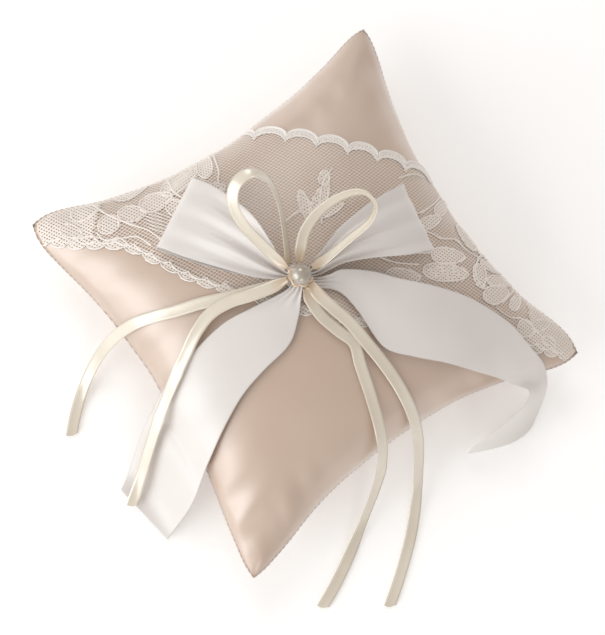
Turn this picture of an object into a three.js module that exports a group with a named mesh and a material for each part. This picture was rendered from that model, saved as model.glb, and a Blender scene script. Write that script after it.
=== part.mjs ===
// Ring bearer pillow: a square satin cushion with a lace band across it, a wide satin bow sewn to its
// middle, two narrow ribbon loops, four narrow ring ribbons and a pearl bead on the knot.
// Millimetres, +Z up. The origin is the centre of the flat patch that the cushion rests on, +X points
// along the lace band to the right-hand corner and +Y to the far corner.
import * as THREE from 'three';

// Cushion
const cushionSide = 205;
const sidePullIn = 14;
const seamHeight = 28;
const crownRise = 38;
const underDrop = 36;
const bulgePower = 0.5;
const coverThickness = 1.2;
const fillingEaseSide = 3.5;
const fillingEase = 1;
const clearance = 0.4;
const coverSteps = 20;
const fillingSteps = 12;
const seamThreadWidth = 0.8;
const seamStepsPerSide = 24;
const closingFirstStep = 54;
const closingLastStep = 62;

// Lace band
const laceThickness = 0.5;
const laceLift = 0.7;
const laceLowerEdge = -10;
const laceUpperEdge = 76;
const laceSeamMargin = 4;
const laceEndMargin = 8;
const laceSteps = [40, 10];

// Ribbons
const wideThickness = 0.5;
const wideStepsAcross = 4;
const narrowWidth = 6;
const narrowThickness = 0.5;
const floorReach = 26;
const ribbonEase = 3;

// Gathered middle of the bow, its thread, and the narrow ribbon's knot on top of it
const bowCentre = [-10, -1];
const gatherHalf = [7, 5.5, 1.5];
const gatherLift = 3.95;
const pleatDepth = 0.07;
const pleatCount = 11;
const gatherThreadRadius = 0.25;
const knotHalf = [5, 3.8, 0.8];

// Pearl bead and the thread through it
const pearlRadius = 5;
const pearlBoreRadius = 0.6;
const beadThreadRadius = 0.22;
const beadThreadRelief = 0.9;

const halfSide = cushionSide / 2;
const gatherHeight = restHeight(...bowCentre) + gatherLift;
const knotHeight = gatherHeight + gatherHalf[2] + 2 * (gatherThreadRadius + clearance) + knotHalf[2];
const pearlHeight = knotHeight + knotHalf[2] + clearance + pearlRadius;

// Edges of the wide ribbon, as [x, y, lift above what the ribbon lies on]. The two edges of a piece
// have the same number of points, and points with the same place in the two lists face each other.
const leftTailEdges = {
  left: [
    [-15, -8.6, 4.2], [-28, -19, 3.2], [-40, -29, 2.4], [-50, -43, 2.4], [-59, -58, 2.6],
    [-65, -74, 3], [-69, -92, 2.5], [-71, -108, 1.6], [-73, -118, 1],
  ],
  right: [
    [-7.4, -8.6, 4.2], [-6.4, -20, 3], [-8, -33, 2.6], [-17, -47, 2.6], [-24, -60, 2.6],
    [-29, -76, 2.6], [-33, -96, 2.6], [-36, -117, 2], [-44, -138, 1],
  ],
};
const rightTailEdges = {
  near: [
    [-2, -4, 4.2], [5, -3, 3.6], [12, -4, 3.4], [22, -11, 3], [37, -24, 2.8], [54, -25, 3],
    [70, -24, 3], [88, -24, 3.2], [103, -24, 3.6], [113, -25, 8], [120, -27, 15], [119, -34, 20],
    [114, -43, 20], [108, -51, 18], [101, -60, 12],
  ],
  far: [
    [-1.5, 0.5, 4.2], [4, 3.5, 4.4], [10, 7.5, 4.6], [24, 10, 4.2], [38, 10, 3.6], [58, 11, 3.2],
    [77, 10, 3], [99, 4, 3], [114, -5, 3], [127, -13, 3], [136, -26, 2.5], [136, -41, 2],
    [128, -51, 2], [115, -58, 2], [102, -63, 2],
  ],
};
const leftLoopEdges = {
  far: [
    [-18, 1.5, 3.1], [-28, 10, 2.6], [-42, 21, 2.4], [-58, 30, 2.6], [-67, 35, 4], [-70, 37, 9],
    [-67, 36, 14], [-56, 32, 15.5], [-39, 23, 13.5], [-26, 11, 9.5], [-18, 2.5, 5.2],
  ],
  near: [
    [-18, -3.5, 3.1], [-30, -5, 2.6], [-47, -5, 2.4], [-64, -3, 2.6], [-75, -1, 3], [-79, 0, 5.5],
    [-76, -0.5, 8.5], [-64, -3, 9.5], [-47, -5, 9], [-30, -6, 7.4], [-18, -4, 5.2],
  ],
};
const rightLoopEdges = {
  far: [
    [-5.5, 5.5, 3.1], [2, 18, 2.6], [10, 31, 2.6], [20, 44, 2.8], [28, 52, 4], [31, 56, 9],
    [28, 53, 14], [16, 41, 15.5], [4, 26, 14], [-2, 14, 10], [-6, 6, 5.2],
  ],
  near: [
    [-1, 3, 3.1], [10, 12, 2.8], [24, 18, 2.6], [38, 22, 2.8], [48, 26, 3.2], [53, 28, 5.5],
    [49, 26, 8.5], [38, 20.5, 10], [22, 15, 9.5], [9, 9.5, 8], [-0.5, 2.5, 5.2],
  ],
};

// Narrow ribbon: two standing loops, as [x, y, height above the knot's middle], and the free ring
// ribbons, as [x, y, z], with their points chosen one by one.
const narrowLoops = {
  left: [
    [-15.9, 3.4, 1.1], [-18.6, 8.6, 6.1], [-22.5, 16.5, 14.5], [-28, 26, 24.5], [-35, 33, 31], [-43, 34, 32.5],
    [-48.5, 28, 30], [-48, 20.5, 24.5], [-42, 14, 18], [-31, 8, 10], [-22, 3.4, 4.3], [-16.7, 0.9, 1.6],
  ],
  right: [
    [-11.5, 5.4, 1.5], [-12.5, 10.5, 6], [-12.5, 19, 12.5], [-8, 28, 19.5], [0, 35, 25.5], [8.5, 38, 27.5],
    [15, 34, 26], [14.5, 27, 21.5], [8, 19, 14.5], [2, 11.5, 8.5], [-2.5, 6.6, 4.1], [-5.6, 4.4, 1.9],
  ],
};
const narrowLoopTilt = 0.14;
const ringRibbons = {
  ring_ribbon_outer_left: [
    [-15.4, -3.5, 73.4], [-22, -8, 72.4], [-31, -12.5, 70.4], [-42, -17.5, 66.2], [-53, -22, 61.8],
    [-63, -27, 57.2], [-72, -31, 52.6], [-81, -35.5, 46.2], [-89, -41, 34], [-95, -48, 23],
    [-99.5, -56, 12], [-102.5, -65, 4.4], [-104, -75, 1.8], [-104.5, -86, 1.2], [-104, -96, 1.2],
  ],
  ring_ribbon_inner_left: [
    [-15.2, -3.4, 74.5], [-22, -9, 74], [-31, -14.6, 72.2], [-40, -19.5, 69], [-47.5, -26.5, 66],
    [-52, -36, 62.8], [-54.5, -46, 59], [-57, -57, 54], [-59.5, -69, 43.4], [-61.5, -82, 34.2],
    [-63, -95, 23.6], [-64, -107, 13.4], [-65, -117, 6.6], [-66, -125, 3.4],
  ],
  ring_ribbon_inner_right: [
    [-6.2, -5.6, 73.4], [-2.2, -10.8, 72.2], [4.4, -16.6, 70.2], [14, -21.5, 68.4], [22.5, -25.5, 67],
    [28, -35, 64], [36, -47, 59], [44, -60, 52.8], [50, -71, 43.4], [53.5, -82, 31.4],
    [54.5, -94, 19], [54, -107, 8], [52.5, -120, 2.6], [49.5, -134, 1.2], [46, -146, 1.2],
    [42, -157, 1.2],
  ],
  ring_ribbon_outer_right: [
    [-4.3, -2.6, 74.2], [0.4, -7.6, 75], [8, -12, 74], [18, -17, 71.2], [28, -24, 68],
    [38, -31, 63.6], [48, -39, 58.4], [57, -47.5, 51.2], [65, -56.5, 40.6], [71, -65.5, 28],
    [75.5, -76, 16.4], [79, -87, 7.4], [81, -99, 2.4], [81.5, -112, 1.2], [80.5, -125, 1.2],
    [79, -138, 1.2], [77, -150, 1.2],
  ],
};

const satin = { color: 0xf0ddca, roughness: 0.42, metalness: 0 };
const satinUnder = { color: 0xe9d3bf, roughness: 0.45, metalness: 0 };
const filling = { color: 0xf6f4ee, roughness: 0.95, metalness: 0 };
const thread = { color: 0xeadbc9, roughness: 0.7, metalness: 0 };
const lace = { color: 0xf7f1ea, roughness: 0.8, metalness: 0 };
const whiteSatin = { color: 0xf6f4f2, roughness: 0.35, metalness: 0 };
const ivorySatin = { color: 0xf5ead6, roughness: 0.38, metalness: 0 };
const pearl = { color: 0xf3efe6, roughness: 0.18, metalness: 0.1 };

const pillow = new THREE.Group();

function addPiece(group, name, geometry, finish) {
  const mesh = new THREE.Mesh(geometry, new THREE.MeshStandardMaterial(finish));
  mesh.name = name;
  group.add(mesh);
  return mesh;
}

function clamp(value, low, high) {
  return Math.min(high, Math.max(low, value));
}

function smoothStep(share) {
  const s = clamp(share, 0, 1);
  return s * s * (3 - 2 * s);
}

// Square coordinates p and q run from -1 to 1 along the two side directions of the cushion. The sides
// curve in between the corners.
function planPoint(p, q) {
  const s = p * (halfSide - sidePullIn * (1 - Math.min(q * q, 1)));
  const t = q * (halfSide - sidePullIn * (1 - Math.min(p * p, 1)));
  return [(s - t) * Math.SQRT1_2, (s + t) * Math.SQRT1_2];
}

function squareCoords(x, y) {
  const s = (x + y) * Math.SQRT1_2;
  const t = (y - x) * Math.SQRT1_2;
  let p = s / halfSide;
  let q = t / halfSide;
  for (let round = 0; round < 40; round += 1) {
    p = s / (halfSide - sidePullIn * (1 - Math.min(q * q, 1)));
    q = t / (halfSide - sidePullIn * (1 - Math.min(p * p, 1)));
  }
  return [p, q];
}

function bulge(p, q) {
  return Math.pow(Math.max(0, 1 - p * p) * Math.max(0, 1 - q * q), bulgePower);
}

// Height of what a loose ribbon lies on: the front cover inside the outline, and past the outline a
// fall from the seam to the table over the length floorReach.
function restHeight(x, y) {
  const [p, q] = squareCoords(x, y);
  const past = (Math.max(Math.abs(p), Math.abs(q)) - 1) * (halfSide - sidePullIn);
  if (past <= 0) {
    return seamHeight + clearance / 2 + crownRise * bulge(p, q);
  }
  return seamHeight * (1 - smoothStep(past / floorReach));
}

// A ribbon bridges the steep rim, so it lies as on a cushion that is a little larger.
function drapeHeight(x, y) {
  const inward = 1 - ribbonEase / halfSide;
  return restHeight(x * inward, y * inward);
}

function restNormal(x, y) {
  const step = 1.5;
  const slopeX = (restHeight(x + step, y) - restHeight(x - step, y)) / (2 * step);
  const slopeY = (restHeight(x, y + step) - restHeight(x, y - step)) / (2 * step);
  return new THREE.Vector3(-slopeX, -slopeY, 1).normalize();
}

// Reshapes a box of unit size: place receives the vertex's three shares, from -0.5 to 0.5.
function reshapedBox(stepsX, stepsY, place) {
  const box = new THREE.BoxGeometry(1, 1, 1, stepsX, stepsY, 1);
  const spots = box.attributes.position;
  for (let i = 0; i < spots.count; i += 1) {
    const spot = place(spots.getX(i), spots.getY(i), spots.getZ(i));
    spots.setXYZ(i, spot.x, spot.y, spot.z);
  }
  box.computeVertexNormals();
  return box;
}

function cushionSpot(u, v, planScale, zOf) {
  const p = Math.sin(Math.PI * u);
  const q = Math.sin(Math.PI * v);
  const [x, y] = planPoint(p, q);
  return new THREE.Vector3(x * planScale, y * planScale, zOf(bulge(p, q)));
}

function coverGeometry(outerZ, innerZ, outerOnTop) {
  const innerScale = 1 - (1.2 * coverThickness) / halfSide;
  return reshapedBox(coverSteps, coverSteps, (u, v, w) => {
    const isOuter = outerOnTop ? w > 0 : w < 0;
    return cushionSpot(u, v, isOuter ? 1 : innerScale, isOuter ? outerZ : innerZ);
  });
}

function buildCushion() {
  const upperRim = seamHeight + clearance / 2;
  const lowerRim = seamHeight - clearance / 2;
  const front = coverGeometry(
    (b) => upperRim + crownRise * b,
    (b) => upperRim + (crownRise - coverThickness) * b,
    true,
  );
  const back = coverGeometry(
    (b) => Math.max(0, lowerRim - underDrop * b),
    (b) => Math.max(coverThickness, lowerRim - (underDrop - coverThickness) * b),
    false,
  );
  const fillScale = 1 - (1.2 * coverThickness + fillingEaseSide) / halfSide;
  const inset = coverThickness + fillingEase;
  const fill = reshapedBox(fillingSteps, fillingSteps, (u, v, w) => {
    const top = (b) => upperRim + (crownRise - inset) * b;
    const under = (b) => Math.max(coverThickness + fillingEase, lowerRim - (underDrop - inset) * b);
    return cushionSpot(u, v, fillScale, w > 0 ? top : under);
  });
  addPiece(pillow, 'front_cover', front, satin);
  addPiece(pillow, 'back_cover', back, satinUnder);
  addPiece(pillow, 'fibre_filling', fill, filling);
}

// A point outside the cushion's outline, for a number of steps round it from the right-hand corner.
function outlineSpot(step, outward) {
  const around = (step / seamStepsPerSide) % 4;
  const side = Math.floor(around);
  const along = (around - side) * 2 - 1;
  const corners = [[1, along], [-along, 1], [-1, -along], [along, -1]];
  const [x, y] = planPoint(...corners[side]);
  const grow = 1 + outward / (halfSide - sidePullIn);
  return new THREE.Vector2(x * grow, y * grow);
}

function outlineThread(firstStep, lastStep, endGap) {
  const steps = lastStep - firstStep;
  const offset = clearance + seamThreadWidth / 2;
  return reshapedBox(steps, 1, (u, v, w) => {
    const step = firstStep + steps * (u + 0.5);
    const trimmed = clamp(step, firstStep + endGap, lastStep - endGap);
    const spot = outlineSpot(trimmed, offset - v * seamThreadWidth);
    return new THREE.Vector3(spot.x, spot.y, seamHeight + w * seamThreadWidth);
  });
}

function buildSeamThreads() {
  const endGap = 0.05;
  const fullTurn = 4 * seamStepsPerSide;
  const seam = outlineThread(closingLastStep, closingFirstStep + fullTurn, endGap);
  const closing = outlineThread(closingFirstStep, closingLastStep, endGap);
  addPiece(pillow, 'seam_thread', seam, thread);
  addPiece(pillow, 'closing_thread', closing, thread);
}

// Where the upper half of the outline lies at a given x.
function outlineY(x) {
  let low = 0;
  let high = cushionSide;
  for (let round = 0; round < 40; round += 1) {
    const middle = (low + high) / 2;
    const [p, q] = squareCoords(x, middle);
    if (Math.max(Math.abs(p), Math.abs(q)) < 1) {
      low = middle;
    } else {
      high = middle;
    }
  }
  return low;
}

function buildLaceBand() {
  const reachX = halfSide * Math.SQRT2 - laceEndMargin;
  const geometry = reshapedBox(laceSteps[0], laceSteps[1], (u, v, w) => {
    const x = 2 * u * reachX;
    const limit = outlineY(x) - laceSeamMargin;
    const low = Math.max(laceLowerEdge, -limit);
    const high = Math.min(laceUpperEdge, limit);
    const y = low + (high - low) * (v + 0.5);
    const lift = laceLift + laceThickness * (w + 0.5);
    return new THREE.Vector3(x, y, restHeight(x, y)).addScaledVector(restNormal(x, y), lift);
  });
  addPiece(pillow, 'lace_band', geometry, lace);
}

function liftCurve(points) {
  return new THREE.CatmullRomCurve3(points.map((point) => new THREE.Vector3(...point)));
}

// A strip of cloth between two edge curves, whose points hold x, y and the lift above what it lies on.
function clothBetween(edgeA, edgeB, thickness, stepsAlong, stepsAcross) {
  const nudge = 0.01;
  const spotAt = (u, v) => {
    const spot = edgeA.getPoint(clamp(u, 0, 1)).lerp(edgeB.getPoint(clamp(u, 0, 1)), v);
    spot.z += drapeHeight(spot.x, spot.y);
    return spot;
  };
  return reshapedBox(stepsAlong, stepsAcross, (x, y, z) => {
    const u = x + 0.5;
    const v = y + 0.5;
    const along = spotAt(u + nudge, v).sub(spotAt(u - nudge, v));
    const across = spotAt(u, Math.min(1, v + 0.1)).sub(spotAt(u, Math.max(0, v - 0.1)));
    const normal = along.cross(across).normalize();
    return spotAt(u, v).addScaledVector(normal, z * thickness);
  });
}

function addWideRibbon(name, firstEdge, secondEdge) {
  const stepsAlong = 3 * (firstEdge.length - 1);
  const geometry = clothBetween(
    liftCurve(firstEdge),
    liftCurve(secondEdge),
    wideThickness,
    stepsAlong,
    wideStepsAcross,
  );
  addPiece(pillow, name, geometry, whiteSatin);
}

function buildWideBow() {
  addWideRibbon('bow_left_loop', leftLoopEdges.near, leftLoopEdges.far);
  addWideRibbon('bow_right_loop', rightLoopEdges.near, rightLoopEdges.far);
  addWideRibbon('bow_left_tail', leftTailEdges.left, leftTailEdges.right);
  addWideRibbon('bow_right_tail', rightTailEdges.near, rightTailEdges.far);
}

// A small cushion-like lump of gathered cloth. Pleats run along x and ripple its sides.
function lumpGeometry(half, pleats, depth) {
  const lump = new THREE.SphereGeometry(1, 28, 12);
  const spots = lump.attributes.position;
  for (let i = 0; i < spots.count; i += 1) {
    const angle = Math.atan2(spots.getY(i), spots.getX(i));
    const ripple = 1 + depth * Math.cos(pleats * angle) * (1 - spots.getZ(i) * spots.getZ(i));
    spots.setXYZ(i, spots.getX(i) * ripple * half[0], spots.getY(i) * ripple * half[1], spots.getZ(i) * half[2]);
  }
  lump.computeVertexNormals();
  return lump;
}

function buildGatherAndKnot() {
  const gather = addPiece(pillow, 'bow_gather', lumpGeometry(gatherHalf, pleatCount, pleatDepth), whiteSatin);
  gather.position.set(bowCentre[0], bowCentre[1], gatherHeight);
  const knot = addPiece(pillow, 'ring_ribbon_knot', lumpGeometry(knotHalf, pleatCount, pleatDepth), ivorySatin);
  knot.position.set(bowCentre[0], bowCentre[1], knotHeight);

  // The gathering thread goes round the gathers, across the ribbon.
  const ring = new THREE.TorusGeometry(1, 0.5, 6, 28);
  const spots = ring.attributes.position;
  for (let i = 0; i < spots.count; i += 1) {
    const angle = Math.atan2(spots.getY(i), spots.getX(i));
    const out = Math.hypot(spots.getX(i), spots.getY(i)) - 1;
    const middle = gatherThreadRadius + clearance;
    const y = Math.cos(angle) * (gatherHalf[1] * (1 + pleatDepth) + middle + 2 * gatherThreadRadius * out);
    const z = Math.sin(angle) * (gatherHalf[2] + middle + 2 * gatherThreadRadius * out);
    spots.setXYZ(i, spots.getZ(i) * 2 * gatherThreadRadius, y, z);
  }
  ring.computeVertexNormals();
  const gatherThread = addPiece(pillow, 'gather_thread', ring, thread);
  gatherThread.position.set(bowCentre[0], bowCentre[1], gatherHeight);
}

function buildPearl() {
  const bead = new THREE.Group();
  bead.position.set(bowCentre[0], bowCentre[1], pearlHeight);
  bead.rotation.z = -Math.PI / 2;
  pillow.add(bead);
  const arcSteps = 14;
  const halfOpening = Math.asin(pearlBoreRadius / pearlRadius);
  const profile = [];
  for (let i = 0; i <= arcSteps; i += 1) {
    const angle = halfOpening + ((Math.PI - 2 * halfOpening) * i) / arcSteps;
    profile.push(new THREE.Vector2(Math.sin(angle) * pearlRadius, -Math.cos(angle) * pearlRadius));
  }
  profile.push(profile[0].clone());
  addPiece(bead, 'pearl_bead', new THREE.LatheGeometry(profile, 24), pearl);

  // The thread comes up beside the bead, runs through its bore and goes down on the other side.
  const out = pearlRadius + beadThreadRelief;
  const foot = -pearlRadius + 0.2;
  const route = [[-out, foot], [-out, -2], [-out + 0.2, -0.5], [-out + 1.2, 0], [0, 0]];
  const mirrored = route.slice(0, -1).reverse().map(([along, height]) => [-along, height]);
  const spots = [...route, ...mirrored].map(([along, height]) => new THREE.Vector3(0, along, height));
  const section = new THREE.Shape();
  section.absarc(0, 0, beadThreadRadius, 0, 2 * Math.PI);
  const threadGeometry = new THREE.ExtrudeGeometry(section, {
    steps: 28,
    curveSegments: 6,
    bevelEnabled: false,
    extrudePath: new THREE.CatmullRomCurve3(spots),
  });
  addPiece(bead, 'bead_thread', threadGeometry, thread);
}

function narrowStrip(points, widthDirection, stepsAlong) {
  const middle = new THREE.CatmullRomCurve3(points.map((spot) => new THREE.Vector3(...spot)));
  return reshapedBox(stepsAlong, 1, (x, y, z) => {
    const u = x + 0.5;
    const spot = middle.getPoint(u);
    const along = middle.getTangent(u);
    const across = widthDirection(spot, along);
    const normal = along.clone().cross(across).normalize();
    return spot.addScaledVector(across, y * narrowWidth).addScaledVector(normal, z * narrowThickness);
  });
}

// A standing loop's ribbon is as wide as the loop's plane is deep: its width points out of that plane.
function buildNarrowLoops() {
  for (const [side, offsets] of Object.entries(narrowLoops)) {
    const points = offsets.map(([x, y, rise]) => [x, y, knotHeight + rise]);
    const start = new THREE.Vector3(...points[0]);
    const top = new THREE.Vector3(...points[Math.floor(points.length / 2)]);
    const reach = top.sub(start).normalize();
    const sideways = new THREE.Vector3(0, 0, 1).cross(reach).normalize();
    const outOfPlane = reach.clone().cross(sideways).normalize();
    const geometry = narrowStrip(points, (spot, along) => {
      const tilted = outOfPlane.clone().addScaledVector(sideways, narrowLoopTilt);
      return tilted.addScaledVector(along, -tilted.dot(along)).normalize();
    }, 3 * (points.length - 1));
    addPiece(pillow, `ring_ribbon_${side}_loop`, geometry, ivorySatin);
  }
}

function buildRingRibbons() {
  for (const [name, points] of Object.entries(ringRibbons)) {
    const geometry = narrowStrip(points, (spot, along) => {
      return restNormal(spot.x, spot.y).cross(along).normalize();
    }, 3 * (points.length - 1));
    addPiece(pillow, name, geometry, ivorySatin);
  }
}

buildCushion();
buildSeamThreads();
buildLaceBand();
buildWideBow();
buildGatherAndKnot();
buildPearl();
buildNarrowLoops();
buildRingRibbons();

export default pillow;
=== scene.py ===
import math

import bmesh
import bpy
from mathutils import Matrix, Vector, noise
from mathutils.bvhtree import BVHTree


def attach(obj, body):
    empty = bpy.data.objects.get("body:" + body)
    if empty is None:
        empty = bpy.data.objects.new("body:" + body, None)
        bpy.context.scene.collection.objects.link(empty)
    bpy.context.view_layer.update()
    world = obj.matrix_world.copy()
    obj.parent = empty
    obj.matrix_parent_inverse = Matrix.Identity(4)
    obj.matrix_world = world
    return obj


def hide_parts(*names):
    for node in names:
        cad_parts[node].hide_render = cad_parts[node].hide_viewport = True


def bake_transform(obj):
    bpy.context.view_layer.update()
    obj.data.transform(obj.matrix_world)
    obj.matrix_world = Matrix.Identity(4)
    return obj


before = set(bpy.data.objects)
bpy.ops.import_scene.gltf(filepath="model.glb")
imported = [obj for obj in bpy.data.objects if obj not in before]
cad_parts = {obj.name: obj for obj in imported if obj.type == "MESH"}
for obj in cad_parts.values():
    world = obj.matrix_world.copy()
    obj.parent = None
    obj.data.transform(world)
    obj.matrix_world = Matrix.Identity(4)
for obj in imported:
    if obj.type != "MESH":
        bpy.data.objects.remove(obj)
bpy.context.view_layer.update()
mm = 0.001
print("frame loaded:", len(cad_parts), "nodes")

cameraSetup = {
    "place": (-46.3, -90.3, 559.0),
    "target": (-1.1, -13.4, 30.0),
    "up": (-0.2126, 0.9694, 0.1227),
    "lens": 59.5,
    "sensor": 36.0,
}


def addCamera(setup):
    place = Vector(setup["place"]) * mm
    forward = (Vector(setup["target"]) * mm - place).normalized()
    right = forward.cross(Vector(setup["up"])).normalized()
    up = right.cross(forward)
    turn = Matrix((right, up, -forward)).transposed().to_4x4()
    data = bpy.data.cameras.new("pillowCamera")
    data.lens = setup["lens"]
    data.sensor_width = setup["sensor"]
    data.clip_start = 0.01
    camera = bpy.data.objects.new("pillowCamera", data)
    camera.matrix_world = Matrix.Translation(place) @ turn
    bpy.context.scene.collection.objects.link(camera)
    bpy.context.scene.camera = camera


addCamera(cameraSetup)
bpy.context.scene.view_settings.view_transform = "Standard"


def mix(a, b, share):
    return a + (b - a) * share


def clamp(value, low=0.0, high=1.0):
    return max(low, min(high, value))


def smoothStep(share):
    s = clamp(share)
    return s * s * (3 - 2 * s)


def curvePoint(points, share):
    # a smooth curve through given points, share 0 to 1 from the first to the last
    last = len(points) - 1
    place = clamp(share) * last
    i = min(int(place), last - 1)
    t = place - i
    p1, p2 = Vector(points[i]), Vector(points[i + 1])
    p0 = Vector(points[i - 1]) if i > 0 else p1 * 2 - p2
    p3 = Vector(points[i + 2]) if i < last - 1 else p2 * 2 - p1
    return 0.5 * (p1 * 2 + (p2 - p0) * t + (p0 * 2 - p1 * 5 + p2 * 4 - p3) * t * t
                  + (p1 * 3 - p0 - p2 * 3 + p3) * t * t * t)


def curveTangent(points, share):
    step = 0.004
    return (curvePoint(points, min(1, share + step)) - curvePoint(points, max(0, share - step))).normalized()


def newPiece(name, bm, material=None, smooth=True):
    mesh = bpy.data.meshes.new(name)
    bm.to_mesh(mesh)
    bm.free()
    piece = bpy.data.objects.new(name, mesh)
    bpy.context.scene.collection.objects.link(piece)
    if smooth:
        mesh.shade_smooth()
    if material:
        mesh.materials.append(material)
    return piece


def sheetMesh(bm, stepsAlong, stepsAcross, place, uvSize=(1, 1)):
    # a flat grid whose corners are moved by place(u, v); its UV map is in metres of cloth
    uvLayer = bm.loops.layers.uv.get("UVMap") or bm.loops.layers.uv.new("UVMap")
    made = bmesh.ops.create_grid(bm, x_segments=stepsAlong, y_segments=stepsAcross, size=0.5)
    shares = {v: (v.co.x + 0.5, v.co.y + 0.5) for v in made["verts"]}
    faces = set()
    for v, (u, w) in shares.items():
        v.co = place(u, w)
        faces.update(v.link_faces)
    for face in faces:
        for loop in face.loops:
            u, w = shares[loop.vert]
            loop[uvLayer].uv = (u * uvSize[0], w * uvSize[1])
    return made["verts"]


# Materials: small node trees, each with the scale of the real cloth

def startMaterial(name):
    material = bpy.data.materials.new(name)
    material.use_nodes = True
    nodes, links = material.node_tree.nodes, material.node_tree.links
    return material, nodes, links, nodes["Principled BSDF"]


def addNoise(nodes, links, coords, scale, detail=3.0):
    texture = nodes.new("ShaderNodeTexNoise")
    texture.inputs["Scale"].default_value = scale
    texture.inputs["Detail"].default_value = detail
    links.new(coords, texture.inputs["Vector"])
    return texture.outputs["Fac"]


def addRamp(nodes, links, source, stops):
    ramp = nodes.new("ShaderNodeValToRGB")
    elements = ramp.color_ramp.elements
    while len(elements) < len(stops):
        elements.new(0.5)
    for element, (place, colour) in zip(elements, stops):
        element.position = place
        element.color = (*colour, 1)
    links.new(source, ramp.inputs["Fac"])
    return ramp.outputs["Color"]


def addThreads(nodes, links, coords, pitch, direction="X"):
    # fine parallel threads, one per pitch (metres)
    wave = nodes.new("ShaderNodeTexWave")
    wave.bands_direction = direction
    wave.inputs["Scale"].default_value = 1 / (pitch * 3.18)
    wave.inputs["Distortion"].default_value = 0.6
    wave.inputs["Detail"].default_value = 1.0
    links.new(coords, wave.inputs["Vector"])
    return wave.outputs["Fac"]


def addBump(nodes, links, height, strength, distance, after=None):
    bump = nodes.new("ShaderNodeBump")
    bump.inputs["Strength"].default_value = strength
    bump.inputs["Distance"].default_value = distance
    links.new(height, bump.inputs["Height"])
    if after:
        links.new(after, bump.inputs["Normal"])
    return bump.outputs["Normal"]


def satinMaterial(name, look):
    material, nodes, links, shader = startMaterial(name)
    coords = nodes.new("ShaderNodeTexCoord")
    broad = addNoise(nodes, links, coords.outputs["Object"], look["blotch"])
    colour = addRamp(nodes, links, broad, [(0.3, look["deep"]), (0.7, look["light"])])
    links.new(colour, shader.inputs["Base Color"])
    rough = nodes.new("ShaderNodeMapRange")
    links.new(broad, rough.inputs["Value"])
    rough.inputs["To Min"].default_value = look["rough"] - 0.04
    rough.inputs["To Max"].default_value = look["rough"] + 0.05
    links.new(rough.outputs["Result"], shader.inputs["Roughness"])
    warp = addThreads(nodes, links, coords.outputs["UV"], look["threadPitch"], "X")
    weft = addThreads(nodes, links, coords.outputs["UV"], look["threadPitch"] * 1.6, "Y")
    normal = addBump(nodes, links, warp, 0.25, look["threadDepth"])
    normal = addBump(nodes, links, weft, 0.15, look["threadDepth"], normal)
    crumple = addNoise(nodes, links, coords.outputs["Object"], look["crumpleScale"], 2.0)
    normal = addBump(nodes, links, crumple, look["crumple"], 0.0012, normal)
    links.new(normal, shader.inputs["Normal"])
    shader.inputs["Specular IOR Level"].default_value = look["specular"]
    shader.inputs["Anisotropic"].default_value = look["anisotropy"]
    shader.inputs["Sheen Weight"].default_value = look["sheen"]
    shader.inputs["Sheen Roughness"].default_value = 0.35
    shader.inputs["Coat Weight"].default_value = look["lustre"]
    shader.inputs["Coat Roughness"].default_value = look["lustreSpread"]
    shader.inputs["Coat IOR"].default_value = 2.2
    return material


cushionLook = {
    "deep": (0.50, 0.345, 0.25), "light": (0.58, 0.425, 0.32), "blotch": 9.0, "rough": 0.34,
    "threadPitch": 0.00035, "threadDepth": 0.00006, "crumple": 0.3, "crumpleScale": 22.0,
    "specular": 1.0, "anisotropy": 0.5, "sheen": 0.45, "lustre": 0.85, "lustreSpread": 0.45,
}
wideRibbonLook = {
    "deep": (0.715, 0.672, 0.645), "light": (0.785, 0.745, 0.72), "blotch": 14.0, "rough": 0.4,
    "threadPitch": 0.0004, "threadDepth": 0.00005, "crumple": 0.05, "crumpleScale": 40.0,
    "specular": 0.7, "anisotropy": 0.4, "sheen": 0.2, "lustre": 0.08, "lustreSpread": 0.4,
}
narrowRibbonLook = {
    "deep": (0.68, 0.60, 0.475), "light": (0.77, 0.695, 0.58), "blotch": 30.0, "rough": 0.32,
    "threadPitch": 0.0003, "threadDepth": 0.00004, "crumple": 0.05, "crumpleScale": 60.0,
    "specular": 0.9, "anisotropy": 0.4, "sheen": 0.25, "lustre": 0.8, "lustreSpread": 0.26,
}
cushionSatin = satinMaterial("champagneSatin", cushionLook)
wideSatin = satinMaterial("whiteSatin", wideRibbonLook)
narrowSatin = satinMaterial("ivorySatin", narrowRibbonLook)


def paintedKnotShade(material, place, near, far, shadeTint):
    # painted shade: the ribbon's colour turns to a deeper, warmer tint near the knot, standing in for the shade where
    # its folded layers crowd together
    nodes, links = material.node_tree.nodes, material.node_tree.links
    shader = nodes["Principled BSDF"]
    colour = shader.inputs["Base Color"].links[0].from_socket
    coords = nodes.new("ShaderNodeTexCoord")
    distance = nodes.new("ShaderNodeVectorMath")
    distance.operation = "DISTANCE"
    distance.inputs[1].default_value = place
    links.new(coords.outputs["Object"], distance.inputs[0])
    share = nodes.new("ShaderNodeMapRange")
    links.new(distance.outputs["Value"], share.inputs["Value"])
    share.inputs["From Min"].default_value = near
    share.inputs["From Max"].default_value = far
    shadeMix = nodes.new("ShaderNodeMix")
    shadeMix.data_type = "RGBA"
    shadeMix.inputs["A"].default_value = (*shadeTint, 1)
    links.new(share.outputs["Result"], shadeMix.inputs["Factor"])
    links.new(colour, shadeMix.inputs["B"])
    links.new(shadeMix.outputs["Result"], shader.inputs["Base Color"])


# painted shade on the narrow ribbon satin, darkest at the knot and fading out within about 17 mm
paintedKnotShade(narrowSatin, (-0.010, -0.001, 0.074), 0.004, 0.017, (0.66, 0.47, 0.29))


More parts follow.
